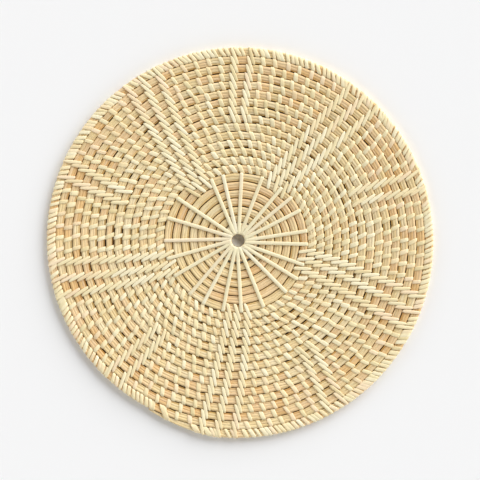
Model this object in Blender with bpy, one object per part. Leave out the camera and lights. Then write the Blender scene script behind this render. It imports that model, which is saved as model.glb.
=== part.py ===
"""Round coiled rattan placemat.

A bundle of rattan reeds is coiled from an open eye to the rim. A lashing of
split cane wraps the bare middle rows through the eye, and lines of long
stitches, each over two rows, swirl from there to the rim.
Metres, +Z up. The mat lies flat with its underside at Z = 0.
"""
import math

import bmesh
import bpy
from mathutils import Vector

# Sizes of the coil, in metres
EYE_RADIUS = 0.0055          # clear hole, inside the lashing
ROW_PITCH = 0.0071           # from one row to the next
CORE_HEIGHT = 0.0048         # thickness of the reed bundle
TIP_WIDTH = 0.0015           # width of the bundle at its two pared ends
TAIL_LENGTH = 0.058          # run along the rim over which the last row is pared away

# Sizes of the cane, in metres
LASHING_WIDTH = 0.0034
LASHING_THICKNESS = 0.0005
CROWD_RADIUS = 0.0195        # inside this the lashing strands narrow to fit the eye
STRAND_GAP = 0.00055         # gap between strands that lie side by side
STITCH_WIDTH = 0.0020        # measured along the row
STITCH_THICKNESS = 0.0004
RIM_LINE_PITCH = 0.0143      # spacing of the stitch lines of one arm at the rim
INNER_LINE_PITCH = 0.0069    # spacing at the inner end, where no lashing strand runs between
WINDOW_EASE = 0.0003         # spare room where a lashing strand passes between two lines
SEAT_GAP = 0.0003            # clearance between pieces that touch

# Counts, turns and directions; directions are in degrees, counter-clockwise from +X,
# seen from above
COIL_TURNS = 22.5
WOVEN_TURNS = 14.7           # outer turns that are stitched; the rest are bare
TURN_POINTS = 24             # facets in one turn of the coil
END_DIRECTION = 242          # where the coil ends; it grows clockwise
SHOULDER_SHARE = 0.23        # share of a row's width that is rounded off at each side
LASHING_DIRECTIONS = (
    8, 26, 39, 52, 69, 87, 103, 115, 145, 162, 180,
    195, 209, 228, 241, 261, 273, 291, 313, 327, 340, 357,
)
# Each arm: direction of its middle at the rim, then at its inner end
LONG_ARM_DIRECTIONS = ((48.8, 55), (120.7, 126.5), (192, 198.5), (263.9, 270.5), (337.7, 344))
SHORT_ARM_DIRECTIONS = ((18.1, 20.6), (88.5, 90.2), (157.2, 159.4), (227.8, 229.5), (300.5, 302.8))
LONG_ARM_LINES = 3
SHORT_ARM_LINES = 2
SHORT_ARM_STITCHES = 8
SMOOTH_LIMIT = 65            # facets that meet at a smaller angle are shaded as one surface

# How the least gap of a tube to itself is measured: how many rows away it is looked for,
# and how many rings of the tube's own bend are passed over
GAP_SEARCH_ROWS = 4
LASHING_BEND_RINGS = 5
STITCH_BEND_RINGS = 3

# Worked out from the sizes above
SLIT_WIDTH = LASHING_THICKNESS + 2 * SEAT_GAP
CORE_EYE_RADIUS = EYE_RADIUS + LASHING_THICKNESS + SEAT_GAP
FIRST_SLIT_RADIUS = CORE_EYE_RADIUS + TIP_WIDTH + SLIT_WIDTH / 2
LASHING_LEVEL = CORE_HEIGHT / 2 + SEAT_GAP + LASHING_THICKNESS / 2
STITCH_LEVEL = CORE_HEIGHT / 2 + SEAT_GAP + STITCH_THICKNESS / 2
HALF_THICKNESS = LASHING_LEVEL + LASHING_THICKNESS / 2
STITCH_STEP = STITCH_WIDTH + STRAND_GAP
WINDOW_LINE_PITCH = STITCH_STEP + STITCH_WIDTH + LASHING_WIDTH + 2 * SEAT_GAP + WINDOW_EASE
TAIL_TURNS = TAIL_LENGTH / (math.tau * (FIRST_SLIT_RADIUS + ROW_PITCH * COIL_TURNS))

# The facets of a turn straddle the true spiral, with the same area inside
FACET_ANGLE = math.tau / TURN_POINTS
FACET_SWELL = math.sqrt(FACET_ANGLE / math.sin(FACET_ANGLE))
ROUNDING_SHARE = 1e-6        # slack in comparing turns and directions

UP = Vector((0, 0, 1))


def polar(radius, angle):
    """Point at a radius and an angle in radians, in the mid plane of the mat."""
    return Vector((radius * math.cos(angle), radius * math.sin(angle), 0))


def along_row(point):
    """Unit direction along the row at a point, counter-clockwise."""
    return UP.cross(point).normalized()


def slit_radius(turn):
    """Middle of the slit on the outer side of the row at this turn."""
    return FIRST_SLIT_RADIUS + ROW_PITCH * turn


def inner_edge(turn):
    """Inner side of the row; the first turn lies against the eye."""
    return max(slit_radius(turn - 1) + SLIT_WIDTH / 2, CORE_EYE_RADIUS)


def outer_edge(turn):
    """Outer side of the row, before the tail is pared."""
    return slit_radius(turn) - SLIT_WIDTH / 2


def coil_point(turn, radius_at):
    """Point on the faceted spiral whose corners stand at radius_at(turn)."""
    facet = math.floor(turn * TURN_POINTS + ROUNDING_SHARE)
    corners = []
    for corner in (facet / TURN_POINTS, (facet + 1) / TURN_POINTS):
        corners.append(polar(radius_at(corner) * FACET_SWELL, coil_angle(corner)))
    return corners[0].lerp(corners[1], turn * TURN_POINTS - facet)


def coil_angle(turn):
    """Direction of a turn, in radians, counter-clockwise from +X."""
    return math.radians(END_DIRECTION) + math.tau * (COIL_TURNS - turn)


def slit_turn(direction, rows_in):
    """Turn of the slit that lies so many rows in from the outer edge at a direction in degrees."""
    past_end = ((direction - END_DIRECTION) % 360) / 360
    return COIL_TURNS - past_end - rows_in


def slit_point(direction, rows_in):
    """Where a strand passes down a slit, at a direction in degrees."""
    return coil_point(slit_turn(direction, rows_in), slit_radius)


def woven_rows(direction):
    """How many stitched rows lie between the bare middle and the rim."""
    return math.floor(slit_turn(direction, 0) - (COIL_TURNS - WOVEN_TURNS)) + 1


def turned(angle):
    """Angle in degrees between -180 and 180."""
    return (angle + 180) % 360 - 180


def beside(direction, point, distance):
    """Direction that lies a distance beside another, measured round the mat at a point's radius."""
    return direction + math.degrees(distance / point.length)


def loft(bm, rings):
    """Joins rings of points into one skin with end faces."""
    loops = [[bm.verts.new(point) for point in ring] for ring in rings]
    for near, far in zip(loops, loops[1:]):
        for side, corner in enumerate(near):
            bm.faces.new((near[side - 1], corner, far[side], far[side - 1]))
    bm.faces.new(loops[0])
    bm.faces.new(reversed(loops[-1]))


def strand_rings(path, widths, thickness):
    """Four-cornered rings of a flat cane strand along a path.

    Each station of the path is a point and the direction of the strand's width.
    The strand travels up, outwards, down and inwards, so its outer face is on
    the side of travel crossed with width, and corners are mitred.
    """
    faces_out = []
    for (here, across), (there, across_there) in zip(path, path[1:]):
        faces_out.append((there - here).cross(across + across_there).normalized())
    rings = []
    before = faces_out[:1] + faces_out
    after = faces_out + faces_out[-1:]
    for (point, across), width, first, second in zip(path, widths, before, after):
        side = across * (width / 2)
        out = (first + second) / (1 + first.dot(second)) * (thickness / 2)
        rings.append([point + side + out, point - side + out, point - side - out, point + side - out])
    return rings


def coil_rings():
    """Six-sided sections of the reed bundle, from its tip at the eye to its tail."""
    tail_start = COIL_TURNS - TAIL_TURNS
    corners = [facet / TURN_POINTS for facet in range(math.ceil(COIL_TURNS * TURN_POINTS))]
    rings = []
    for turn in sorted(set(corners + [tail_start, COIL_TURNS])):
        inner = coil_point(turn, inner_edge)
        outer = coil_point(turn, outer_edge)
        if turn > tail_start:
            pared = TIP_WIDTH / (outer - inner).length
            outer = inner.lerp(outer, pared + (1 - pared) * (COIL_TURNS - turn) / TAIL_TURNS)
        level = UP * (CORE_HEIGHT / 2)
        near = inner.lerp(outer, SHOULDER_SHARE)
        far = outer.lerp(inner, SHOULDER_SHARE)
        rings.append([inner, near + level, far + level, outer, far - level, near - level])
    return rings


def line_places(count):
    """Places of an arm's whole lines across it, in line spacings from its middle."""
    whole = round(count)
    return [line - (whole - 1) / 2 for line in range(whole)]


def inner_offsets(kind, places, rim_point, inner_point, inner_middle):
    """Distances of an arm's lines beside its middle, at its inner end.

    The lines of a short arm run straight at the eye. Those of a long arm stand
    further apart where a lashing strand runs between two of them.
    """
    if kind == "short":
        return [place * RIM_LINE_PITCH * inner_point.length / rim_point.length for place in places]
    plain = [beside(inner_middle, inner_point, place * INNER_LINE_PITCH) for place in places]
    offsets = [0]
    for here, there in zip(plain, plain[1:]):
        window = any(turned(strand - here) > 0 > turned(strand - there) for strand in LASHING_DIRECTIONS)
        offsets.append(offsets[-1] + (WINDOW_LINE_PITCH if window else INNER_LINE_PITCH))
    return [offset - offsets[-1] / 2 for offset in offsets]


def led_directions(rim, inner, rim_radius, inner_radius, stitches):
    """Directions of a line's stitches, each led the same distance aside from the one before.

    They run from the rim inwards, in degrees, with one spare at each end.
    """
    pitch = (rim_radius - inner_radius) / (stitches - 1)
    whole = math.log(rim_radius / inner_radius)
    shares = [math.log(rim_radius / (rim_radius - pitch * row)) / whole for row in range(-1, stitches + 1)]
    return [rim + (inner - rim) * share for share in shares]


def arm_lines():
    """Every stitch line: its name and the direction of each stitch's middle."""
    arms = [("long", LONG_ARM_LINES, arm) for arm in LONG_ARM_DIRECTIONS]
    arms += [("short", SHORT_ARM_LINES, arm) for arm in SHORT_ARM_DIRECTIONS]
    lines = []
    for index, (kind, count, (rim_middle, inner_middle)) in enumerate(arms):
        number = index % len(LONG_ARM_DIRECTIONS) + 1
        stitches = woven_rows(inner_middle) if kind == "long" else round(SHORT_ARM_STITCHES)
        rim_point = slit_point(rim_middle, 1)
        inner_point = slit_point(inner_middle, stitches)
        places = line_places(count)
        offsets = inner_offsets(kind, places, rim_point, inner_point, inner_middle)
        for line, (place, offset) in enumerate(zip(places, offsets), 1):
            rim = beside(rim_middle, rim_point, place * RIM_LINE_PITCH)
            inner = beside(inner_middle, inner_point, offset)
            directions = led_directions(rim, inner, rim_point.length, inner_point.length, stitches)
            lines.append((f"{kind}_arm_{number}_line_{line}", directions))
    return lines


def stitch_places(directions, row):
    """Directions of a stitch's outer and inner legs; row 0 is the rim.

    Each leg lies one step beside the stitch that crosses the same slit, so
    that the strands of a line lie side by side and all lean alike.
    """
    next_out, own, next_in = directions[row:row + 3]
    outer = beside(next_out, slit_point(own, row), STITCH_STEP)
    inner = beside(next_in, slit_point(own, row + 2), -STITCH_STEP)
    return outer, inner


def line_path(directions):
    """One strand's path through a whole line, from the bare rows out to the rim.

    It goes up a slit, over two rows, down, and back under one row, so each
    stitch starts one row further out. Its ends are tucked into the slits.
    """
    level = UP * STITCH_LEVEL
    stitches = len(directions) - 2
    stations = []
    for row in reversed(range(stitches)):
        outer, inner = stitch_places(directions, row)
        in_leg = slit_point(inner, row + 2)
        out_leg = slit_point(outer, row)
        foot = in_leg if row == stitches - 1 else in_leg - level
        stations += [
            (foot, along_row(in_leg)),
            (in_leg + level, along_row(in_leg)),
            (out_leg + level, along_row(out_leg)),
            (out_leg - level, along_row(out_leg)),
        ]
    last = slit_point(beside(directions[1], slit_point(directions[1], 1), -STITCH_STEP), 1)
    return stations + [(last - level, along_row(last)), (last, along_row(last))]


def taken_places(lines):
    """Directions that the lashing must keep clear of, each with its reach in degrees."""
    room = (STITCH_WIDTH + LASHING_WIDTH) / 2 + SEAT_GAP
    taken = []
    for name, directions in lines:
        if not name.startswith("long"):
            continue
        last = len(directions) - 3
        crossing = directions[last + 1]
        outer_slit = slit_point(crossing, last + 1)
        inner_slit = slit_point(crossing, last + 2)
        taken.append((crossing, outer_slit))
        taken.append((stitch_places(directions, last - 1)[1], outer_slit))
        taken.append((stitch_places(directions, last)[1], inner_slit))
    return [(place, math.degrees(room / point.length)) for place, point in taken]


def lashing_directions(taken):
    """Each strand's direction, led to the nearest place that is clear of the stitches."""
    edges = [place + side * reach for place, reach in taken for side in (-1, 1)]
    free = []
    for wanted in LASHING_DIRECTIONS:
        clear = [
            place for place in [wanted] + edges
            if all(abs(turned(place - other)) > reach - ROUNDING_SHARE for other, reach in taken)
        ]
        free.append(min(clear, key=lambda place: abs(turned(place - wanted))))
    return free


def lashing_stations(directions):
    """The lashing's one unbroken path through the eye and round the bare rows."""
    count = len(directions)
    step = 360 / count
    leads = [turned(place - directions[0] - index * step) for index, place in enumerate(directions)]
    first = directions[0] + sum(leads) / count - step / 2
    eye_points = [
        polar(EYE_RADIUS + LASHING_THICKNESS / 2, math.radians(first + index * step))
        for index in range(count + 1)
    ]
    bare_limit = COIL_TURNS - WOVEN_TURNS
    bend = LASHING_THICKNESS
    level = UP * LASHING_LEVEL
    crowd = CROWD_RADIUS - EYE_RADIUS
    stations = [(eye_points[0] + eye_points[0].normalized() * bend - level, along_row(eye_points[0]))]
    for index, direction in enumerate(directions):
        eye, next_eye = eye_points[index], eye_points[index + 1]
        rows_in = math.ceil(slit_turn(direction, 0) - bare_limit)
        leg = slit_point(direction, rows_in)
        over = (leg - eye).normalized()
        under = (leg - next_eye).normalized()
        rise = level - UP * bend
        stations += [
            (eye - rise, along_row(eye)),
            (eye + rise, along_row(eye)),
            (eye + over * bend + level, UP.cross(over)),
            (eye + over * crowd + level, UP.cross(over)),
            (leg - over * bend + level, UP.cross(over)),
            (leg + rise, along_row(leg)),
            (leg - rise, along_row(leg)),
            (leg - under * bend - level, UP.cross(under)),
            (next_eye + under * crowd - level, UP.cross(under)),
            (next_eye + under * bend - level, UP.cross(under)),
        ]
    return stations[:-1]


def lashing_width(point):
    """Full width over the bare rows, narrower where the strands crowd into the eye."""
    radius = math.hypot(point.x, point.y)
    eye_width = math.tau * EYE_RADIUS / len(LASHING_DIRECTIONS) - STRAND_GAP
    share = (radius - EYE_RADIUS) / (CROWD_RADIUS - EYE_RADIUS)
    return eye_width + (LASHING_WIDTH - eye_width) * min(max(share, 0), 1)


def segment_distance(point, start, end):
    """Distance from a point to a straight stretch."""
    run = end - start
    share = min(max((point - start).dot(run) / run.length_squared, 0), 1)
    return (start + run * share - point).length


def least_self_gap(rings, skip):
    """Least distance from a tube's corners to its own edges, from skip rings further on."""
    reach = GAP_SEARCH_ROWS * ROW_PITCH
    least = math.inf
    for index, ring in enumerate(rings):
        for other in range(index + skip, len(rings) - 1):
            if (rings[other][0] - ring[0]).length > reach:
                continue
            for corner in ring:
                for side in range(len(ring)):
                    edge = rings[other][side], rings[other + 1][side]
                    least = min(least, segment_distance(corner, *edge))
    return least


def material(name, colour, roughness):
    made = bpy.data.materials.new(name)
    made.use_nodes = True
    shader = made.node_tree.nodes["Principled BSDF"]
    shader.inputs["Base Color"].default_value = (*colour, 1)
    shader.inputs["Roughness"].default_value = roughness
    shader.inputs["Metallic"].default_value = 0
    return made


def add_piece(name, rings, finish, frame):
    """One named object, lofted through its rings and hung on the mat's frame."""
    bm = bmesh.new()
    loft(bm, rings)
    bmesh.ops.recalc_face_normals(bm, faces=bm.faces)
    mesh = bpy.data.meshes.new(name)
    bm.to_mesh(mesh)
    bm.free()
    mesh.materials.append(finish)
    mesh.shade_smooth()
    mesh.set_sharp_from_angle(angle=math.radians(SMOOTH_LIMIT))
    piece = bpy.data.objects.new(name, mesh)
    piece.parent = frame
    bpy.context.scene.collection.objects.link(piece)


def mat_frame(rings):
    """Empty at the mat's mid height that puts the middle of the outline over the origin."""
    points = [point for ring in rings for point in ring]
    frame = bpy.data.objects.new("mat_frame", None)
    frame.location = (
        -(min(p.x for p in points) + max(p.x for p in points)) / 2,
        -(min(p.y for p in points) + max(p.y for p in points)) / 2,
        HALF_THICKNESS,
    )
    bpy.context.scene.collection.objects.link(frame)
    return frame


def build():
    for old in list(bpy.data.objects):
        bpy.data.objects.remove(old, do_unlink=True)

    reed = material("core_reed", (0.66, 0.49, 0.26), 0.6)
    lashing_cane = material("lashing_cane", (0.86, 0.72, 0.47), 0.45)
    stitch_cane = material("stitch_cane", (0.84, 0.71, 0.45), 0.45)

    core = coil_rings()
    lines = arm_lines()
    stations = lashing_stations(lashing_directions(taken_places(lines)))
    widths = [lashing_width(point) for point, across in stations]
    lashing = strand_rings(stations, widths, LASHING_THICKNESS)
    stitching = {}
    for name, directions in lines:
        path = line_path(directions)
        stitching[name] = strand_rings(path, [STITCH_WIDTH] * len(path), STITCH_THICKNESS)

    frame = mat_frame(core + [ring for rings in stitching.values() for ring in rings])
    add_piece("core_coil", core, reed, frame)
    add_piece("centre_lashing", lashing, lashing_cane, frame)
    for name, rings in stitching.items():
        add_piece(name, rings, stitch_cane, frame)
    bpy.context.view_layer.update()

    least = {
        "coil": least_self_gap(core, TURN_POINTS // 2),
        "lashing": least_self_gap(lashing, LASHING_BEND_RINGS),
        "stitch lines": min(least_self_gap(rings, STITCH_BEND_RINGS) for rings in stitching.values()),
    }
    for name, gap in least.items():
        print(f"{name}: least gap to itself {gap * 1000:.2f} mm")


build()
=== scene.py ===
import math

import bpy
import numpy as np
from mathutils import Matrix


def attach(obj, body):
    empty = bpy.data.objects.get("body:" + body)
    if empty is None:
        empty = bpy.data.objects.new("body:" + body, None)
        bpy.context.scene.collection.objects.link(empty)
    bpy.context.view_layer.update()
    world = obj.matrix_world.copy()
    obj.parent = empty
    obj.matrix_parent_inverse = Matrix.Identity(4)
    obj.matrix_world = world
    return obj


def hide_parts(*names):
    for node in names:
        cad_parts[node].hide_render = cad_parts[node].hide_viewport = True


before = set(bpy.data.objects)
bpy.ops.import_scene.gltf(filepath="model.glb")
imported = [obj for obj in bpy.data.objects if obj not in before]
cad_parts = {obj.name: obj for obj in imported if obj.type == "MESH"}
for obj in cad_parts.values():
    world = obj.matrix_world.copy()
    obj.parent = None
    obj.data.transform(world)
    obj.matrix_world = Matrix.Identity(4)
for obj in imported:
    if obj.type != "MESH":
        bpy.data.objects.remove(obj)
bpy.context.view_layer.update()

# Sizes of the mat, in metres, as its solids have them
EYE_CENTRE = (-0.001784, 0.001470)
EYE_RADIUS = 0.0055          # clear hole, inside the lashing
ROW_PITCH = 0.0071           # from one row to the next
CORE_HEIGHT = 0.0048         # thickness of the reed bundle
TIP_WIDTH = 0.0015           # width of the bundle at its two pared ends
TAIL_LENGTH = 0.058          # run along the rim over which the last row is pared away
LASHING_WIDTH = 0.0034
LASHING_THICKNESS = 0.0005
STRAND_GAP = 0.00055         # gap between strands that lie side by side
STITCH_WIDTH = 0.0020        # measured along the row
RIM_LINE_PITCH = 0.0143      # spacing of the stitch lines of one arm at the rim
INNER_LINE_PITCH = 0.0069    # spacing at the inner end, where no lashing strand runs between
WINDOW_EASE = 0.0003         # spare room where a lashing strand passes between two lines
SEAT_GAP = 0.0003            # clearance between pieces that touch

# Counts, turns and directions; directions are in degrees, counter-clockwise from +X, from above
COIL_TURNS = 22.5
WOVEN_TURNS = 14.7           # outer turns that are stitched; the rest are bare
END_DIRECTION = 242          # where the coil ends; it grows clockwise
LASHING_DIRECTIONS = (
    8, 26, 39, 52, 69, 87, 103, 115, 145, 162, 180,
    195, 209, 228, 241, 261, 273, 291, 313, 327, 340, 357,
)
# Each arm: direction of its middle at the rim, then at its inner end
LONG_ARM_DIRECTIONS = ((48.8, 55), (120.7, 126.5), (192, 198.5), (263.9, 270.5), (337.7, 344))
SHORT_ARM_DIRECTIONS = ((18.1, 20.6), (88.5, 90.2), (157.2, 159.4), (227.8, 229.5), (300.5, 302.8))
LONG_ARM_LINES = 3
SHORT_ARM_LINES = 2
SHORT_ARM_STITCHES = 8
ANGLE_SLACK = 1e-4           # in comparing directions

# Worked out from the sizes above
SLIT_WIDTH = LASHING_THICKNESS + 2 * SEAT_GAP
CORE_EYE_RADIUS = EYE_RADIUS + LASHING_THICKNESS + SEAT_GAP
FIRST_SLIT_RADIUS = CORE_EYE_RADIUS + TIP_WIDTH + SLIT_WIDTH / 2
ROW_TOP = CORE_HEIGHT / 2    # over the mat's mid plane
MID_HEIGHT = ROW_TOP + SEAT_GAP + LASHING_THICKNESS
STITCH_STEP = STITCH_WIDTH + STRAND_GAP
WINDOW_LINE_PITCH = STITCH_STEP + STITCH_WIDTH + LASHING_WIDTH + 2 * SEAT_GAP + WINDOW_EASE
TAIL_TURNS = TAIL_LENGTH / (math.tau * (FIRST_SLIT_RADIUS + ROW_PITCH * COIL_TURNS))
BARE_TURNS = COIL_TURNS - WOVEN_TURNS

# Course of the slits; a table by turn gives turns and then what is there
SLIT_WANDER = 0.00035        # how far a slit strays to either side
SLIT_WAVE_RATES = (547, 1103, 1621)  # of its waves, to the metre of turns times radius
WANDER_BY_TURN = ((1, 2, COIL_TURNS - 2, COIL_TURNS - 1), (0, 1, 1, 0))
PIT_BY_TURN = (              # gap outside the bound first row, up to the second one
    (0.3, 0.6, 1.1, 1.5, 1.7),
    (0, 0.0006, 0.0010, 0.0010, 0),
)

# The reed bundle; a noise is its step along the reed, in metres, and its size
REED_SHARES = (              # place and half width in the row's width, height in the row's
    (-0.33, 0.17, 0.70),
    (-0.06, 0.27, 0.88),
    (0.235, 0.265, 1.0),
)
RIM_INNER_REED_SHARE = 0.85  # height of the innermost reed in the rim's row
TIP_HEIGHT_SHARE = 0.5       # height of the bundle where no width is left of it
REED_SIDES = 10
REED_BOX_POWER = 2.25        # how square the reed's section is; 2 is round
REED_STEP = 0.0028           # spacing of the reed's sections along a row
REED_MAP_STEP = 0.0009       # way from corner to corner of the section, for its map
REED_HEIGHT_NOISE = (0.02, 0.035)
REED_WIDTH_NOISE = (0.015, 0.06)

# Every cane strand; shares are of its own width or thickness
CANE_WIDTH = 0.0034          # of a short stitch; the binding's is a share of it
CANE_THICKNESS = 0.00055
CANE_SECTION = np.array((    # corners of the half-round section
    (0.50, -0.10), (0.43, 0.30), (0.20, 0.50), (-0.20, 0.50),
    (-0.43, 0.30), (-0.50, -0.10), (-0.28, -0.50), (0.28, -0.50),
))
HIDDEN_SHARE = 0.75          # width under the rows
FILLET_LIMIT = 0.45          # share of a straight run that the curve at its end may take
FOLD_BENDS = 5               # points of such a curve
MAP_SHIFTS = 10              # each strand's grain starts somewhere in so many metres

# A strand sewn once round a row; x runs across the row from -1 to 1, outwards
RING_POINTS = 26
RING_BOX_POWER = 3.3         # how square its course is
SIDE_LIFT = 0.4              # how far its middle lies outside the row's sides
TOP_LIFT = 0.42              # and over its top
ROW_SLOPE = ((-1.0, 0.3), (0.72, 1.0))  # x, and height there
STITCH_LEAF = (              # x, and width there
    (-1.0, -0.7, -0.3, 0.2, 0.6, 0.85, 1.0),
    (0.93, 1.0, 1.0, 1.0, 0.97, 0.90, 0.80),
)

# Short stitches
SECTORS = 10                 # they are gathered by direction
SHORT_SPACING = (            # radius, and spacing along a row
    (0.063, 0.0765, 0.106, 0.1275, 0.155),
    (0.0070, 0.0083, 0.0096, 0.0098, 0.0104),
)
SHORT_LEAN = ((0.063, 0.085, 0.120), (26, 24, 17))  # radius, and degrees from the outward direction
SHORT_LEAN_SPREAD = 3.5
SHORT_PLACE_SPREAD = 0.03    # in spacings
SHORT_WIDTH_SPREAD = 0.08
LEAST_SEWN_LENGTH = 0.022    # of a row between two lines of long stitches, for short ones to fit

# Long stitches
LONG_CANE_WIDTH = 0.0029
LONG_STITCH_LEAF = (         # way from the inner slit to the outer one, and the width there
    (0.09, 0.92), (0.22, 1.0), (0.38, 1.0), (0.54, 1.0), (0.70, 0.97), (0.83, 0.90), (0.92, 0.78),
)
INNER_END_SHARE = 0.80       # width where it comes out of the inner slit
OUTER_END_SHARE = 0.60       # and where it goes into the outer one
LONG_STITCH_CROWN = 0.00045  # how far the middle of a stitch stands over its ends
CROWN_POWER = 4              # how flat the middle is; 2 is a plain arch
LONG_STITCH_LEAN = 0.0005    # how far aside each end lies, more than its hidden part does
LONG_STITCH_SHIFT = 0.00012  # spread of the stitches' places
FOLD_REACH = 0.0010          # how far from its corner a fold begins

# The rim lashing and the wraps that hold the tail
RIM_CANE_WIDTH = 0.0032
RIM_WIDTH_SHARE = (0.97, 0.09)  # mean and spread
RIM_WRAP_PITCH = 0.0044
RIM_PITCH_SPREAD = 0.2       # of the pitch
LEAST_RIM_WRAP_PITCH = 0.0031
RIM_LEAN = (29, 4)           # mean and spread, in degrees
RIM_CLEARANCE = 0.0022       # from the middle of a rim wrap to that of a long stitch
TAIL_CANE_WIDTH = 0.0041
TAIL_WRAPS = ((246.8, 1), (257.2, 0), (260.8, 0))  # direction, and rows held besides the tail
TAIL_LEAN = 44

# The binding of the first turn, under the centre lashing
EYE_WRAPS = 40
BINDING_START = 0.17         # turn where it begins
BINDING_LIFT = -0.3          # how far its middle lies over the row's top
BINDING_WIDTH_SHARE = (0.9, 0.08)  # mean and spread

# The centre lashing
SPOKE_WIDTH = 0.0031
SPOKE_WIDTH_AT_EYE = 0.0026
SPOKE_FULL_RADIUS = 0.0105   # from here outwards it has its full width
SPOKE_THICKNESS = 0.0008
SPOKE_LIFT = 0.00012         # neighbours lie a little over and under one another at the eye
SPOKE_FOLD_REACH = 0.0014
SPOKE_FOLD_BENDS = 6
SPOKE_STEP = 0.005           # longest way between two of its sections

# Levels of the strands' middles over the mid plane
STITCH_LEVEL = ROW_TOP + CANE_THICKNESS * TOP_LIFT
BINDING_LEVEL = ROW_TOP + CANE_THICKNESS * BINDING_LIFT
SPOKE_LEVEL = ROW_TOP + SPOKE_THICKNESS * 0.5

# Tone is brightness and tint is hue, each a place on a ramp; a pair is mean and spread, or a noise
SHORT_TONE = (0.48, 0.17)
LONG_TONE = (0.62, 0.17)
RIM_TONE = (0.72, 0.17)
BINDING_TONE = (0.62, 0.1)
SPOKE_TONE = 0.66
SPOKE_TONE_NOISE = (26, 0.15)  # its step is counted in sections
SPOKE_TINT = 0.5
SPOKE_TINT_NOISE = (26, 0.5)
REED_TONE = (0.68, 0.12)
REED_TONE_NOISE = (0.012, 0.18)
REED_TINT_NOISE = (0.02, 0.18)
RIM_STRETCH_TURNS = 0.01     # on the rim the reeds' colour changes this often
TINT_BY_TURN = ((14.5, 17.5, 20.0), (0.25, 0.0, -0.12))  # strands are paler towards the middle
BARE_TINT = 0.5
BARE_TINT_NOISE = (0.03, 0.5)
BARE_SHADE_NOISE = (0.04, 1.2)  # a shade is a reed's tone in spreads from the mean
TAIL_TINT = 0.9
TAIL_SHADE = 1.0

# Painted shade: brown darkening painted into the creases between rows and strands, as a share of
# the whole
PAINTED_SHADE_BY_TURN = ((14.5, 17.5), (1.12, 1.0))
PAINTED_SHADE_SPREAD = 0.24
PAINTED_SHADE_SPREAD_LIMIT = 1.5      # in spreads from the mean
BARE_PAINTED_SHADE_NOISE = (0.02, 0.25)
# Painted shade is weaker on the rim's open outer side, where no row lies beside it
RIM_PAINTED_SHADE_SHARE = 0.2         # on the open side of the rim

# Finishes: ramps of places from 0 to 1 with 8-bit display colours; grain in features to the metre
# Painted shade on the reeds: browner the deeper a point lies below their top
REED_PAINTED_SHADE = (               # a strand's top is at 0, and mid height at 1
    (0.0, 255, 255, 255), (0.31, 255, 255, 255), (0.45, 232, 211, 166),
    (0.55, 98, 69, 17), (0.69, 30, 18, 1),
)
# Painted shade on the cane strands: browner the deeper a point lies below their top
CANE_PAINTED_SHADE = (
    (0.0, 255, 255, 255), (0.30, 255, 255, 255), (0.51, 221, 199, 147),
    (0.73, 124, 93, 38), (1.0, 60, 40, 10),
)
FINISHES = {
    "core_reed": {
        "tones": ((0.0, 220, 217, 209), (0.5, 247, 246, 244), (1.0, 255, 255, 255)),
        "tints": (
            (0.0, 238, 200, 142), (0.14, 242, 210, 164), (0.4, 245, 219, 172),
            (0.7, 243, 220, 168), (1.0, 247, 229, 188),
        ),
        "folds": REED_PAINTED_SHADE,
        "streaks": ((0.0, 186, 156, 112), (0.38, 232, 218, 194), (0.55, 255, 255, 255)),
        "streak_share": 0.45,
        "roughness": 0.62,
        "specular": 0.18,
        "bump_height": 0.00012,
        "grain": (120, 4000),
    },
    "stitch_cane": {
        "tones": ((0.0, 232, 227, 212), (0.5, 251, 249, 245), (1.0, 255, 255, 255)),
        "tints": (
            (0.0, 252, 231, 197), (0.3, 250, 234, 192), (0.65, 249, 236, 194),
            (1.0, 252, 243, 211),
        ),
        "folds": CANE_PAINTED_SHADE,
        "streaks": ((0.0, 218, 194, 148), (0.4, 246, 238, 218), (0.6, 255, 255, 255)),
        "streak_share": 0.35,
        "roughness": 0.42,
        "specular": 0.45,
        "bump_height": 0.00007,
        "grain": (90, 3600),
    },
    "lashing_cane": {
        "tones": ((0.0, 232, 227, 214), (0.5, 245, 244, 240), (1.0, 252, 252, 251)),
        "tints": (
            (0.0, 252, 236, 208), (0.35, 250, 239, 204), (0.7, 250, 241, 206),
            (1.0, 252, 245, 222),
        ),
        "folds": CANE_PAINTED_SHADE,
        "streaks": ((0.0, 222, 200, 160), (0.4, 246, 238, 220), (0.6, 255, 255, 255)),
        "streak_share": 0.3,
        "roughness": 0.4,
        "specular": 0.45,
        "bump_height": 0.00007,
        "grain": (60, 3000),
    },
}
STREAK_NOISE = ((60, 1300), 2.0, 0.0)  # features to the metre along and across, detail, shift
GRAIN_DETAIL = 3.0
GRAIN_SHIFT = 5.0
BUMP_STRENGTH = 0.6

# Floor, light and camera; the light's directions and angles are in degrees
FLOOR_HALF = 3.0
FLOOR_COLOUR = (0.94, 0.94, 0.942, 1)
FLOOR_ROUGHNESS = 0.9
FLOOR_SPECULAR = 0.1
SKY_BANDS = ((0.0, 1.28), (0.56, 1.28), (0.74, 0.04), (1.0, 0.04))  # height from 0 to 1, brightness
KEY_ENERGY = 3.1
KEY_SPREAD = 50
KEY_DIRECTION = 48
KEY_ELEVATION = 25
CAMERA_SPOT = (-0.00017, 0.0020)
CAMERA_HEIGHT = 1.6
VIEW_WIDTH = 0.408           # that the photograph takes in, in the mat's mid plane
SENSOR_WIDTH = 36            # in millimetres
CLIP_START = 0.01

SEED = 11
rng = np.random.default_rng(SEED)


def slit_radius(turn):
    """Middle of the slit on the outer side of the row at this turn, from the eye."""
    return FIRST_SLIT_RADIUS + ROW_PITCH * turn


def coil_angle(turn):
    """Direction of a turn in radians; the coil grows clockwise."""
    return math.radians(END_DIRECTION) + math.tau * (COIL_TURNS - turn)


def slit_turn(direction, rows_in):
    """Turn of the slit that lies so many rows in from the outer edge."""
    return COIL_TURNS - ((direction - END_DIRECTION) % 360) / 360 - rows_in


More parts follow.
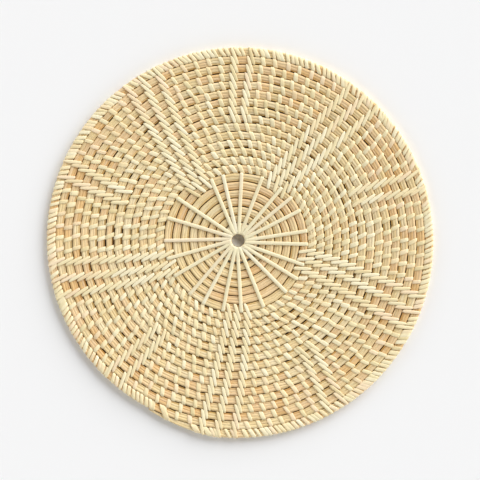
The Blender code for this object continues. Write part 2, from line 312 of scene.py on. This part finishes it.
def woven_rows(direction):
    """How many stitched rows lie between the bare middle and the rim."""
    return math.floor(slit_turn(direction, 0) - BARE_TURNS) + 1


def turned(angle):
    """Angle in degrees between -180 and 180."""
    return (angle + 180) % 360 - 180


def beside(direction, radius, distance):
    """Direction that lies a distance beside another, measured round the mat."""
    return direction + math.degrees(distance / radius)


def place(angle, radius, level):
    """Points in the mat's frame from angles in radians, radii and heights over the mid plane."""
    angle, radius, level = np.broadcast_arrays(angle, radius, level)
    x = EYE_CENTRE[0] + radius * np.cos(angle)
    y = EYE_CENTRE[1] + radius * np.sin(angle)
    return np.stack([x, y, MID_HEIGHT + level], -1)


def along_row(angle):
    """Unit directions round the mat, counter-clockwise."""
    angle = np.asarray(angle, float)
    return np.stack([-np.sin(angle), np.cos(angle), np.zeros_like(angle)], -1)


def unit(vectors):
    """The same directions, each of length 1."""
    return vectors / np.linalg.norm(vectors, axis=-1, keepdims=True)


def rounded_box(corner, power):
    """Points at some angles round a box of half width 1; at power 2 it is a circle."""
    return [np.sign(way) * np.abs(way) ** (2 / power) for way in (np.cos(corner), np.sin(corner))]


def drawn(mean, spread):
    """A random value with a normal spread."""
    return mean + spread * rng.standard_normal()


def drawn_tint(turn):
    """A random tint for a stitch at a turn."""
    return rng.uniform(0, 1) + float(np.interp(turn, *TINT_BY_TURN))


def smooth_noise(length, step, size):
    """Random values up to a size to either side that change smoothly along a line."""
    count = int(np.max(length) / step) + 3
    knots = rng.uniform(-1, 1, count)
    steps = np.asarray(length) / step
    first = np.floor(steps).astype(int)
    share = steps - first
    share = share * share * (3 - 2 * share)
    return size * (knots[first] * (1 - share) + knots[first + 1] * share)


def wander(turn):
    """How far the slit at a turn strays outwards; it stays put at the eye and at the rim."""
    way = turn * slit_radius(turn)
    waves = sum(np.sin(way * rate + rate) for rate in SLIT_WAVE_RATES) / len(SLIT_WAVE_RATES)
    return SLIT_WANDER * np.interp(turn, *WANDER_BY_TURN) * waves


def row_edges(turn):
    """Inner and outer radius of the row at a turn."""
    turn = np.asarray(turn, float)
    pit = np.interp(turn - 1, *PIT_BY_TURN)
    inner = np.maximum(slit_radius(turn - 1) + wander(turn - 1) + pit, CORE_EYE_RADIUS)
    outer = slit_radius(turn) + wander(turn)
    left = np.clip((COIL_TURNS - turn) / TAIL_TURNS, 0, 1)
    return inner, inner + TIP_WIDTH + (outer - inner - TIP_WIDTH) * left


def tube_map(along, around):
    """Map corners of a tube's faces, from the ways along it and round its section."""
    u = np.stack([along[:-1], along[:-1], along[1:], along[1:]], -1)
    v = np.stack([around[:-1], around[1:], around[1:], around[:-1]], -1)
    return np.stack(np.broadcast_arrays(u[:, None, :], v[None, :, :]), -1).reshape(-1, 2)


def added(name, data):
    """A new object in the scene."""
    made = bpy.data.objects.new(name, data)
    bpy.context.scene.collection.objects.link(made)
    return made


class Skin:
    """Gathers swept tubes, each a stack of rings of points, into one mesh."""

    def __init__(self):
        self.points, self.faces, self.maps = [], [], []
        self.shades = {"tone": [], "tint": [], "depth": []}
        self.count = 0

    def tube(self, rings, round_steps, tone, tint, height, cover=1.0, closed=False):
        """Adds a tube.

        rings is stations by corners by 3, round_steps gives the way from corner to
        corner of the section, height is how far the strand's outermost point lies
        from mid height, and the last argument says how much painted crease shade its sides take.
        """
        stations, corners = rings.shape[:2]
        steps = np.linalg.norm(np.diff(rings.mean(1), axis=0), axis=1)
        along = np.concatenate([[0], np.cumsum(steps)])
        around = np.concatenate([[0], np.cumsum(round_steps)])
        index = self.count + np.arange(stations * corners).reshape(stations, corners)
        near, far = index[:-1], index[1:]
        if closed:
            near, far = index, np.roll(index, -1, 0)
            along = np.append(along, along[-1] + steps.mean())
        quads = np.stack([near, np.roll(near, -1, 1), np.roll(far, -1, 1), far], -1)
        shift = rng.uniform(0, MAP_SHIFTS)
        self.faces.append(quads.reshape(-1, 4))
        self.maps.append(tube_map(along, around) + shift)
        if not closed:
            for ring in (index[0][::-1], index[-1]):
                for step in range(corners // 2 - 1):
                    face = ring[[step, step + 1, -2 - step, -1 - step]]
                    self.faces.append(face[None])
                    self.maps.append(np.full((4, 2), shift))
        self.points.append(rings.reshape(-1, 3))
        # Painted shade: the deeper a point lies below the strand's top, the browner it is painted
        levels = np.abs(rings[..., 2] - MID_HEIGHT) / np.reshape(height, (-1, 1))
        depth = (1 - np.clip(levels, 0, 1)) * cover
        values = (np.reshape(tone, (-1, 1)), np.reshape(tint, (-1, 1)), depth)
        for kept, value in zip(self.shades.values(), values):
            kept.append(np.broadcast_to(value, (stations, corners)).reshape(-1))
        self.count += stations * corners

    def piece(self, name, finish, slot, replaced=()):
        """Makes the object, which rides the mat's one body."""
        points = np.concatenate(self.points)
        faces = np.concatenate(self.faces)
        mesh = bpy.data.meshes.new(name)
        mesh.vertices.add(len(points))
        mesh.vertices.foreach_set("co", points.astype(np.float32).ravel())
        mesh.loops.add(faces.size)
        mesh.loops.foreach_set("vertex_index", faces.astype(np.int32).ravel())
        mesh.polygons.add(len(faces))
        mesh.polygons.foreach_set("loop_start", np.arange(0, faces.size, 4, dtype=np.int32))
        layer = mesh.uv_layers.new(name="strand")
        layer.data.foreach_set("uv", np.concatenate(self.maps).astype(np.float32).ravel())
        for shade, values in self.shades.items():
            attribute = mesh.attributes.new(shade, "FLOAT", "POINT")
            attribute.data.foreach_set("value", np.concatenate(values).astype(np.float32))
        mesh.update(calc_edges=True)
        mesh.validate()
        mesh.shade_smooth()
        mesh.materials.append(finish)
        made = added(name, mesh)
        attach(made, "root")
        if replaced:
            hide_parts(*replaced)


def cane_rings(path, across, width, thickness, closed=False):
    """Sections of a half-round strand along a path.

    The strand travels up, outwards, down and inwards, so its round face lies on
    the side of travel crossed with the direction of its width.
    """
    if closed:
        travel = np.roll(path, -1, 0) - np.roll(path, 1, 0)
    else:
        travel = np.gradient(path, axis=0)
    travel = unit(travel)
    across = unit(across - (across * travel).sum(-1, keepdims=True) * travel)
    out = np.cross(travel, across)
    width = np.broadcast_to(width, len(path))[:, None, None]
    side = across[:, None, :] * (CANE_SECTION[None, :, :1] * width)
    rise = out[:, None, :] * (CANE_SECTION[None, :, 1:] * thickness)
    return path[:, None, :] + side + rise


def section_steps(width):
    """Way from corner to corner round a cane section, for its map."""
    return np.linalg.norm(np.roll(CANE_SECTION, -1, 0) - CANE_SECTION, axis=1) * width


def filleted(points, carried, reaches, bends):
    """Rounds the corners of a polyline.

    Each curve starts at most its reach from its corner, and a point without reach
    stays as it is. Carried values keep their corner's value along its curve.
    """
    path, values = [points[0]], [carried[0]]
    shares = np.linspace(0, 1, bends)
    corners = zip(points, points[1:], points[2:], carried[1:-1], reaches[1:-1])
    for before, here, after, value, reach in corners:
        if not reach:
            path.append(here)
            values.append(value)
            continue
        into = here - before
        out_of = after - here
        back = min(reach, np.linalg.norm(into) * FILLET_LIMIT)
        on = min(reach, np.linalg.norm(out_of) * FILLET_LIMIT)
        start = here - unit(into) * back
        end = here + unit(out_of) * on
        for share in shares:
            bend = start * (1 - share) ** 2 + here * 2 * share * (1 - share) + end * share ** 2
            path.append(bend)
            values.append(value)
    return np.array(path + [points[-1]]), np.array(values + [carried[-1]])


def reed_colours(turns, along, sewn):
    """Shade (tone), tint and strength of the painted crease shade, the same for all three reeds.

    They change from stitch to stitch where the rows are sewn, and smoothly where bare.
    """
    stretch = np.searchsorted(sewn, turns)
    bare = turns < BARE_TURNS
    tail = turns > COIL_TURNS - TAIL_TURNS
    tint = rng.uniform(0, 1, len(sewn) + 1)[stretch] + np.interp(turns, *TINT_BY_TURN)
    shade = rng.standard_normal(len(sewn) + 1)[stretch]
    tint[bare] = BARE_TINT + smooth_noise(along, *BARE_TINT_NOISE)[bare]
    shade[bare] = smooth_noise(along, *BARE_SHADE_NOISE)[bare]
    tint[tail] = TAIL_TINT
    shade[tail] = TAIL_SHADE
    # Strength of the painted crease shade, changing from stitch to stitch and smoothly on the bare
    # rows
    spread = np.clip(rng.standard_normal(len(sewn) + 1), -PAINTED_SHADE_SPREAD_LIMIT, PAINTED_SHADE_SPREAD_LIMIT)
    fold = (1 + PAINTED_SHADE_SPREAD * spread[stretch]) * np.interp(turns, *PAINTED_SHADE_BY_TURN)
    fold[bare] = 1 + smooth_noise(along, *BARE_PAINTED_SHADE_NOISE)[bare]
    return shade, tint, fold


def reed_bundle(finish, sewn):
    """Three reeds side by side that run the whole coil and fill each row."""
    turns = [0.0]
    while turns[-1] < COIL_TURNS:
        turns.append(turns[-1] + REED_STEP / (math.tau * slit_radius(turns[-1])))
    turns = np.array(turns)
    turns[-1] = COIL_TURNS
    inner, outer = row_edges(turns)
    width = outer - inner
    middle = (inner + outer) / 2
    steps = np.hypot(np.diff(middle), middle[1:] * np.diff(coil_angle(turns)))
    along = np.concatenate([[0], np.cumsum(steps)])
    shade, row_tint, fold = reed_colours(turns, along, sewn)
    full = np.clip(width / ROW_PITCH, 0, 1)
    row_height = ROW_TOP * (TIP_HEIGHT_SHARE + (1 - TIP_HEIGHT_SHARE) * full)
    on_rim = turns > COIL_TURNS - 1
    angle = coil_angle(turns)[:, None]
    corner = np.linspace(0, math.tau, REED_SIDES, endpoint=False) + math.pi / REED_SIDES
    side_share, rise_share = rounded_box(corner, REED_BOX_POWER)
    mean_tone, tone_spread = REED_TONE
    for number, (spot, half_share, height_share) in enumerate(REED_SHARES, 1):
        if number == 1:
            height_share = np.where(on_rim, RIM_INNER_REED_SHARE, height_share)
        height = row_height * height_share * (1 + smooth_noise(along, *REED_HEIGHT_NOISE))
        half = half_share * width * (1 + smooth_noise(along, *REED_WIDTH_NOISE))
        radius = (middle + spot * width)[:, None] + half[:, None] * side_share
        rings = place(angle, radius, height[:, None] * rise_share)
        tone = mean_tone + tone_spread * shade + smooth_noise(along, *REED_TONE_NOISE)
        tint = row_tint + smooth_noise(along, *REED_TINT_NOISE)
        # The open outer side of the rim gets less painted crease shade
        in_open = on_rim[:, None] & (side_share > 0) & (number == len(REED_SHARES))
        cover = np.where(in_open, RIM_PAINTED_SHADE_SHARE, fold[:, None])
        skin = Skin()
        # Painted shade is measured against the row's full height, so the lower inner reed is
        # painted browner too
        skin.tube(rings, np.full(REED_SIDES, REED_MAP_STEP), tone, tint, row_height, cover)
        skin.piece(f"core_reed_{number}", finish, "core_reed", ["core_coil"])


def stitch_ring(skin, direction, edges, height, lean, width, tone, tint, at_rim=False):
    """A strand sewn once round a row between two edges; off the rim it follows the row's slope."""
    inner, outer = edges
    reach = (outer - inner) / 2 + CANE_THICKNESS * SIDE_LIFT
    middle = (inner + outer) / 2
    corner = math.pi - np.linspace(0, math.tau, RING_POINTS, endpoint=False)
    x, z = rounded_box(corner, RING_BOX_POWER)
    z = z * height
    if not at_rim:
        z = z * np.interp(x, *ROW_SLOPE)
    angle = math.radians(direction) + math.tan(math.radians(lean)) * x * reach / middle
    path = place(angle, middle + x * reach, z)
    widths = width * np.where(z > 0, np.interp(x, *STITCH_LEAF), HIDDEN_SHARE)
    rings = cane_rings(path, along_row(angle), widths, CANE_THICKNESS, closed=True)
    # Painted crease shade is weaker where the strand wraps the rim's open outer side
    cover = np.where(at_rim & (x > 0), RIM_PAINTED_SHADE_SHARE, 1.0)[:, None]
    skin.tube(rings, section_steps(width), tone, tint, height, cover, closed=True)


def inner_offsets(kind, places, rim_radius, inner_radius, inner_middle):
    """Distances of an arm's lines beside its middle, at its inner end."""
    if kind == "short":
        return [share * RIM_LINE_PITCH * inner_radius / rim_radius for share in places]
    plain = [beside(inner_middle, inner_radius, share * INNER_LINE_PITCH) for share in places]
    offsets = [0]
    for here, there in zip(plain, plain[1:]):
        window = any(
            turned(strand - here) > 0 > turned(strand - there) for strand in LASHING_DIRECTIONS
        )
        offsets.append(offsets[-1] + (WINDOW_LINE_PITCH if window else INNER_LINE_PITCH))
    return [offset - offsets[-1] / 2 for offset in offsets]


def led_directions(rim, inner, rim_radius, inner_radius, stitches):
    """Directions of a line's stitches, each led the same distance aside from the one before."""
    pitch = (rim_radius - inner_radius) / (stitches - 1)
    whole = math.log(rim_radius / inner_radius)
    radii = [rim_radius - pitch * row for row in range(-1, stitches + 1)]
    return [rim + (inner - rim) * (math.log(rim_radius / radius) / whole) for radius in radii]


def arm_lines():
    """Every stitch line: its name and the direction of each stitch's middle, from the rim in."""
    arms = [("long", LONG_ARM_LINES, arm) for arm in LONG_ARM_DIRECTIONS]
    arms += [("short", SHORT_ARM_LINES, arm) for arm in SHORT_ARM_DIRECTIONS]
    lines = []
    for index, (kind, count, (rim_middle, inner_middle)) in enumerate(arms):
        number = index % len(LONG_ARM_DIRECTIONS) + 1
        stitches = woven_rows(inner_middle) if kind == "long" else SHORT_ARM_STITCHES
        rim_radius = slit_radius(slit_turn(rim_middle, 1))
        inner_radius = slit_radius(slit_turn(inner_middle, stitches))
        places = [line - (count - 1) / 2 for line in range(count)]
        offsets = inner_offsets(kind, places, rim_radius, inner_radius, inner_middle)
        for line, (share, offset) in enumerate(zip(places, offsets), 1):
            rim = beside(rim_middle, rim_radius, share * RIM_LINE_PITCH)
            inner = beside(inner_middle, inner_radius, offset)
            directions = led_directions(rim, inner, rim_radius, inner_radius, stitches)
            lines.append((f"{kind}_arm_{number}_line_{line}", directions))
    return lines


def stitch_places(directions, row):
    """Directions of a stitch's outer and inner legs; row 0 is the rim."""
    next_out, own, next_in = directions[row:row + 3]
    outer = beside(next_out, slit_radius(slit_turn(own, row)), STITCH_STEP)
    inner = beside(next_in, slit_radius(slit_turn(own, row + 2)), -STITCH_STEP)
    return outer, inner


def leg_point(direction, rows_in, level):
    """A strand's place in a slit."""
    turn = slit_turn(direction, rows_in)
    radius = slit_radius(turn)
    if rows_in == 0:
        radius = float(row_edges(turn)[1]) + CANE_THICKNESS / 2
    return place(math.radians(direction), radius, level)


def stitch_line(directions):
    """One strand's way through a line of long stitches: over two rows, back under one."""
    stitches = len(directions) - 2
    points, carried, reaches = [], [], []

    def pass_through(direction, rows_in, level, share, colour):
        """Takes the strand to a level in a slit, with its stitch's colour and a width there."""
        points.append(leg_point(direction, rows_in, level))
        # Painted crease shade is weaker where the leg lies on the rim's open outer side
        cover = 1.0 if rows_in else RIM_PAINTED_SHADE_SHARE
        carried.append([*along_row(math.radians(direction)), share, *colour, cover])
        reaches.append(FOLD_REACH)

    for row in reversed(range(stitches)):
        turn = slit_turn(directions[row + 1], row + 1)
        colour = drawn(*LONG_TONE), drawn_tint(turn)
        shift = drawn(0, LONG_STITCH_SHIFT)
        outer, inner = (
            beside(direction, slit_radius(turn), shift)
            for direction in stitch_places(directions, row)
        )
        outer = beside(outer, slit_radius(slit_turn(outer, row)), LONG_STITCH_LEAN)
        inner = beside(inner, slit_radius(slit_turn(inner, row + 2)), -LONG_STITCH_LEAN)
        first_level = 0 if row == stitches - 1 else -ROW_TOP
        pass_through(inner, row + 2, first_level, HIDDEN_SHARE, colour)
        pass_through(inner, row + 2, ROW_TOP, INNER_END_SHARE, colour)
        start, end = leg_point(inner, row + 2, ROW_TOP), leg_point(outer, row, ROW_TOP)
        for way, share in LONG_STITCH_LEAF:
            points.append(start + (end - start) * way)
            points[-1][2] += LONG_STITCH_CROWN * (1 - (2 * way - 1) ** CROWN_POWER)
            side = along_row(math.radians(inner + (outer - inner) * way))
            carried.append([*side, share, *colour, 1.0])
            reaches.append(0)
        pass_through(outer, row, ROW_TOP, OUTER_END_SHARE, colour)
        pass_through(outer, row, -ROW_TOP, HIDDEN_SHARE, colour)
    last = beside(directions[1], slit_radius(slit_turn(directions[1], 1)), -STITCH_STEP)
    pass_through(last, 1, -ROW_TOP, HIDDEN_SHARE, colour)
    pass_through(last, 1, 0, HIDDEN_SHARE, colour)

    path, values = filleted(np.array(points), np.array(carried), reaches, FOLD_BENDS)
    sides, shares, tone, tint, cover = np.split(values, (3, 4, 5, 6), axis=1)
    rings = cane_rings(path, sides, LONG_CANE_WIDTH * shares[:, 0], CANE_THICKNESS)
    height = ROW_TOP + LONG_STITCH_CROWN
    skin = Skin()
    skin.tube(rings, section_steps(LONG_CANE_WIDTH), tone, tint, height, cover)
    return skin


def crossings(lines, row):
    """Where the lines of long stitches cross the middle of a row, in order round the mat."""
    return sorted(
        (directions[row] + directions[row + 1]) / 2 % 360
        for _, directions in lines if row < len(directions) - 2
    )


def short_places(lines):
    """Direction and row of every short stitch, between the arms."""
    places = []
    for row in range(1, math.ceil(WOVEN_TURNS)):
        found = crossings(lines, row)
        for here, there in zip(found, found[1:] + [found[0] + 360]):
            gap = there - here
            radius = slit_radius(slit_turn((here + there) / 2, row)) - ROW_PITCH / 2
            length = math.radians(gap) * radius
            if length < LEAST_SEWN_LENGTH:
                continue
            spacing = float(np.interp(radius, *SHORT_SPACING))
            count = round(length / spacing) - 1
            for index in range(1, count + 1):
                direction = here + gap * index / (count + 1)
                direction += drawn(0, SHORT_PLACE_SPREAD) * math.degrees(spacing / radius)
                if BARE_TURNS <= slit_turn(direction, row) <= COIL_TURNS - 1:
                    places.append((direction, row))
    return places


def sewn_turns(lines, places):
    """Turns of the coil at which a stitch crosses the row, in order."""
    turns = [slit_turn(direction, row) for direction, row in places]
    for row in range(math.ceil(WOVEN_TURNS)):
        turns += [slit_turn(direction, row) for direction in crossings(lines, row)]
    rim = np.arange(COIL_TURNS - 1, COIL_TURNS, RIM_STRETCH_TURNS)
    return np.sort(np.concatenate([turns, rim]))


def short_stitches(places):
    """Sews the short stitches, gathered by sector of the mat."""
    skins = [Skin() for _ in range(SECTORS)]
    for direction, row in places:
        turn = slit_turn(direction, row)
        lean = drawn(np.interp(slit_radius(turn), *SHORT_LEAN), SHORT_LEAN_SPREAD)
        width = CANE_WIDTH * drawn(1, SHORT_WIDTH_SPREAD)
        tone, tint = drawn(*SHORT_TONE), drawn_tint(turn)
        skin = skins[int(direction % 360 * SECTORS / 360)]
        stitch_ring(skin, direction, row_edges(turn), STITCH_LEVEL, lean, width, tone, tint)
    return skins


def rim_lashing(lines):
    """The strand that winds round the outermost row, between the arms' long stitches."""
    radius = slit_radius(COIL_TURNS - 0.5)
    clearance = math.degrees(RIM_CLEARANCE / radius)
    taken = [stitch_places(directions, 0)[0] for _, directions in lines]
    wraps = [(direction, rows, TAIL_LEAN, TAIL_CANE_WIDTH) for direction, rows in TAIL_WRAPS]
    direction = beside(TAIL_WRAPS[-1][0], radius, RIM_WRAP_PITCH)
    while direction < END_DIRECTION + 360:
        if min(abs(turned(direction - other)) for other in taken) > clearance:
            wraps.append((direction, 0, drawn(*RIM_LEAN), RIM_CANE_WIDTH))
        pitch = RIM_WRAP_PITCH * drawn(1, RIM_PITCH_SPREAD)
        direction = beside(direction, radius, max(pitch, LEAST_RIM_WRAP_PITCH))
    skin = Skin()
    for direction, rows, lean, usual_width in wraps:
        turn = slit_turn(direction, 0)
        edges = (row_edges(turn - rows)[0], row_edges(turn)[1])
        width = usual_width * drawn(*RIM_WIDTH_SHARE)
        tone, tint = drawn(*RIM_TONE), rng.uniform(0, 1)
        stitch_ring(skin, direction, edges, STITCH_LEVEL, lean, width, tone, tint, at_rim=True)
    return skin


def eye_binding():
    """Strands wound close together round the first turn, from the eye to its outer slit."""
    skin = Skin()
    start_direction = math.degrees(coil_angle(BINDING_START))
    for index in range(EYE_WRAPS):
        direction = 360 * (index + 0.5) / EYE_WRAPS
        turn = BINDING_START + (start_direction - direction) % 360 / 360
        edges = (EYE_RADIUS + CANE_THICKNESS / 2, slit_radius(turn) - CANE_THICKNESS / 2)
        width = CANE_WIDTH * drawn(*BINDING_WIDTH_SHARE)
        tone, tint = drawn(*BINDING_TONE), rng.uniform(0, 1)
        stitch_ring(skin, direction, edges, BINDING_LEVEL, 0, width, tone, tint)
    return skin


def lashing_directions(lines):
    """Each strand's direction, led to the nearest place that is clear of the stitches."""
    room = (STITCH_WIDTH + LASHING_WIDTH) / 2 + SEAT_GAP
    taken = []
    for name, directions in lines:
        if not name.startswith("long"):
            continue
        last = len(directions) - 3
        crossing = directions[last + 1]
        outer_slit = slit_radius(slit_turn(crossing, last + 1))
        inner_slit = slit_radius(slit_turn(crossing, last + 2))
        taken.append((crossing, outer_slit))
        taken.append((stitch_places(directions, last - 1)[1], outer_slit))
        taken.append((stitch_places(directions, last)[1], inner_slit))
    taken = [(direction, math.degrees(room / radius)) for direction, radius in taken]
    edges = [direction + side * reach for direction, reach in taken for side in (-1, 1)]
    free = []
    for wanted in LASHING_DIRECTIONS:
        clear = [
            choice for choice in [wanted] + edges
            if all(abs(turned(choice - other)) > reach - ANGLE_SLACK for other, reach in taken)
        ]
        free.append(min(clear, key=lambda choice: abs(turned(choice - wanted))))
    return free


def lashing_path(points, across):
    """Rounds the lashing's corners and puts stations along its straight runs."""
    reaches = [SPOKE_FOLD_REACH] * len(points)
    path, sides = filleted(points, across, reaches, SPOKE_FOLD_BENDS)
    long_path, long_sides = [path[0]], [sides[0]]
    for here, there, side, next_side in zip(path, path[1:], sides, sides[1:]):
        pieces = max(1, math.ceil(np.linalg.norm(there - here) / SPOKE_STEP))
        for index in range(1, pieces + 1):
            share = index / pieces
            long_path.append(here + (there - here) * share)
            long_sides.append(side + (next_side - side) * share)
    return np.array(long_path), unit(np.array(long_sides))


def centre_lashing(directions):
    """One unbroken strand through the eye and round the bare rows, once for each direction."""
    count = len(directions)
    step = 360 / count
    leads = [
        turned(direction - directions[0] - index * step)
        for index, direction in enumerate(directions)
    ]
    first = directions[0] + sum(leads) / count - step / 2
    eye_radius = EYE_RADIUS + SPOKE_THICKNESS / 2
    points, across = [], []
    for index, direction in enumerate(directions):
        rows_in = math.ceil(slit_turn(direction, 0) - BARE_TURNS)
        leg_radius = slit_radius(slit_turn(direction, rows_in))
        eye = math.radians(first + index * step)
        leg = math.radians(direction)
        lift = SPOKE_LIFT if index % 2 else -SPOKE_LIFT
        for angle, radius, level in (
            (eye, eye_radius, -SPOKE_LEVEL), (eye, eye_radius, SPOKE_LEVEL + lift),
            (leg, leg_radius, SPOKE_LEVEL), (leg, leg_radius, -SPOKE_LEVEL),
        ):
            points.append(place(angle, radius, level))
            across.append(along_row(angle))
    points.append(place(math.radians(first + 360), eye_radius, -SPOKE_LEVEL))
    across.append(along_row(math.radians(first)))
    path, sides = lashing_path(np.array(points), np.array(across))
    radii = np.hypot(path[:, 0] - EYE_CENTRE[0], path[:, 1] - EYE_CENTRE[1])
    widths = np.interp(
        radii, (EYE_RADIUS, SPOKE_FULL_RADIUS), (SPOKE_WIDTH_AT_EYE, SPOKE_WIDTH)
    )
    stations = np.arange(len(path))
    tone = SPOKE_TONE + smooth_noise(stations, *SPOKE_TONE_NOISE)
    tint = SPOKE_TINT + smooth_noise(stations, *SPOKE_TINT_NOISE)
    rings = cane_rings(path, sides, widths, SPOKE_THICKNESS)
    skin = Skin()
    skin.tube(rings, section_steps(SPOKE_WIDTH), tone, tint, SPOKE_LEVEL)
    return skin


def srgb(red, green, blue):
    """Linear colour of an 8-bit display colour."""
    return tuple(((value / 255 + 0.055) / 1.055) ** 2.4 for value in (red, green, blue))


def node(tree, kind, **inputs):
    """A new node with some of its inputs set."""
    made = tree.nodes.new(kind)
    for name, value in inputs.items():
        made.inputs[name].default_value = value
    return made


def ramp(tree, source, stops):
    """Colours over a value, from stops of a place and a linear colour."""
    made = node(tree, "ShaderNodeValToRGB")
    bands = made.color_ramp.elements
    while len(bands) < len(stops):
        bands.new(0.5)
    for band, (position, colour) in zip(bands, stops):
        band.position = position
        band.color = (*colour, 1)
    tree.links.new(source, made.inputs["Fac"])
    return made.outputs["Color"]


def display_ramp(tree, source, stops):
    """Colours over a value, from stops of a place and an 8-bit display colour."""
    return ramp(tree, source, [(position, srgb(*colour)) for position, *colour in stops])


def shade_ramp(tree, name, stops):
    """Colours over one of the mesh's own values."""
    source = node(tree, "ShaderNodeAttribute")
    source.attribute_name = name
    return display_ramp(tree, source.outputs["Fac"], stops)


def mixed(tree, kind, amount, first, second):
    """Two colours mixed; the last three are each a node's output or a value."""
    made = node(tree, "ShaderNodeMix")
    made.data_type = "RGBA"
    made.blend_type = kind
    for name, value in (("Factor", amount), ("A", first), ("B", second)):
        if isinstance(value, bpy.types.NodeSocket):
            tree.links.new(value, made.inputs[name])
        else:
            made.inputs[name].default_value = value
    return made.outputs["Result"]


def stretched_noise(tree, strand_map, scale, detail, shift):
    """Noise drawn out along the strand; scale is in features to the metre, along and across."""
    mapping = node(tree, "ShaderNodeMapping", Scale=(*scale, 1), Location=(shift, shift, 0))
    tree.links.new(strand_map, mapping.inputs["Vector"])
    noise = node(tree, "ShaderNodeTexNoise", Scale=1.0, Detail=detail)
    noise.noise_dimensions = "2D"
    tree.links.new(mapping.outputs["Vector"], noise.inputs["Vector"])
    return noise.outputs["Fac"]


def plain_material(name, roughness, specular):
    """A new material, with its node tree and its shader."""
    made = bpy.data.materials.new(name)
    made.use_nodes = True
    shader = made.node_tree.nodes["Principled BSDF"]
    shader.inputs["Roughness"].default_value = roughness
    shader.inputs["Specular IOR Level"].default_value = specular
    return made, made.node_tree, shader


def fibre_material(
    name, tones, tints, folds, streaks, streak_share, roughness, specular, bump_height, grain
):
    """Plant fibre: each strand's tone and tint, painted brown shade in its creases, and streaks and
    grain along it.
    """
    made, tree, shader = plain_material(name, roughness, specular)
    uv_map = node(tree, "ShaderNodeUVMap")
    uv_map.uv_map = "strand"
    strand_map = uv_map.outputs["UV"]
    toned, tinted = shade_ramp(tree, "tone", tones), shade_ramp(tree, "tint", tints)
    base = mixed(tree, "MULTIPLY", 1.0, tinted, toned)
    # Painted shade: the colour is darkened towards mid height, where the creases between strands
    # lie
    folded = mixed(tree, "MULTIPLY", 1.0, base, shade_ramp(tree, "depth", folds))
    coarse = stretched_noise(tree, strand_map, *STREAK_NOISE)
    streaked = mixed(tree, "MULTIPLY", streak_share, folded, display_ramp(tree, coarse, streaks))
    tree.links.new(streaked, shader.inputs["Base Color"])
    fine = stretched_noise(tree, strand_map, grain, GRAIN_DETAIL, GRAIN_SHIFT)
    bump = node(tree, "ShaderNodeBump", Strength=BUMP_STRENGTH, Distance=bump_height)
    tree.links.new(fine, bump.inputs["Height"])
    tree.links.new(bump.outputs["Normal"], shader.inputs["Normal"])
    return made


def make_floor():
    """Plain pale floor that stays near white in the camera's eye and keeps the shadow."""
    mesh = bpy.data.meshes.new("floor")
    sides = ((-1, -1), (1, -1), (1, 1), (-1, 1))
    mesh.from_pydata([(x * FLOOR_HALF, y * FLOOR_HALF, 0) for x, y in sides], [], [(0, 1, 2, 3)])
    floor = added("floor", mesh)
    finish, _, shader = plain_material("floor", FLOOR_ROUGHNESS, FLOOR_SPECULAR)
    shader.inputs["Base Color"].default_value = FLOOR_COLOUR
    mesh.materials.append(finish)


def make_lights():
    """One broad soft key, low enough to shade the weave, and a sky that is dark straight above.

    The camera sees a white sky instead, and so do mirrored and transmitted rays.
    """
    world = bpy.data.worlds.new("studio")
    bpy.context.scene.world = world
    world.use_nodes = True
    tree = world.node_tree
    way = node(tree, "ShaderNodeTexCoord")
    parts = node(tree, "ShaderNodeSeparateXYZ")
    tree.links.new(way.outputs["Generated"], parts.inputs["Vector"])
    sky = ramp(tree, parts.outputs["Z"], [(height, (value,) * 3) for height, value in SKY_BANDS])
    rays = node(tree, "ShaderNodeLightPath")
    direct = rays.outputs["Is Camera Ray"]
    for kind in ("Is Glossy Ray", "Is Transmission Ray"):
        either = node(tree, "ShaderNodeMath")
        either.operation = "MAXIMUM"
        tree.links.new(direct, either.inputs[0])
        tree.links.new(rays.outputs[kind], either.inputs[1])
        direct = either.outputs["Value"]
    seen = mixed(tree, "MIX", direct, sky, (1, 1, 1, 1))
    tree.links.new(seen, tree.nodes["Background"].inputs["Color"])
    lamp = bpy.data.lights.new("key", "SUN")
    lamp.angle = math.radians(KEY_SPREAD)
    lamp.energy = KEY_ENERGY
    key = added("key", lamp)
    key.rotation_euler = (math.radians(90 - KEY_ELEVATION), 0, math.radians(KEY_DIRECTION + 90))


def make_camera():
    """Straight above the mat, framed as the photograph is."""
    lens = bpy.data.cameras.new("camera")
    camera = added("camera", lens)
    camera.location = (*CAMERA_SPOT, CAMERA_HEIGHT)
    lens.sensor_width = SENSOR_WIDTH
    lens.lens = lens.sensor_width * (CAMERA_HEIGHT - MID_HEIGHT) / VIEW_WIDTH
    lens.clip_start = CLIP_START
    bpy.context.scene.camera = camera


def main():
    """Dresses the mat, and sets up the floor, the light and the camera."""
    reed, cane, lashing = (fibre_material(name, **looks) for name, looks in FINISHES.items())
    lines = arm_lines()
    places = short_places(lines)
    reed_bundle(reed, sewn_turns(lines, places))
    for name, directions in lines:
        stitch_line(directions).piece(f"cane_{name}", cane, "stitch_cane", [name])
    for number, skin in enumerate(short_stitches(places), 1):
        skin.piece(f"short_stitches_{number:02d}", cane, "stitch_cane")
    rim_lashing(lines).piece("rim_lashing", cane, "stitch_cane")
    eye_binding().piece("eye_binding", lashing, "lashing_cane")
    spokes = centre_lashing(lashing_directions(lines))
    spokes.piece("centre_strands", lashing, "lashing_cane", ["centre_lashing"])

    make_floor()
    make_lights()
    make_camera()
    bpy.context.scene.view_settings.view_transform = "Standard"


main()
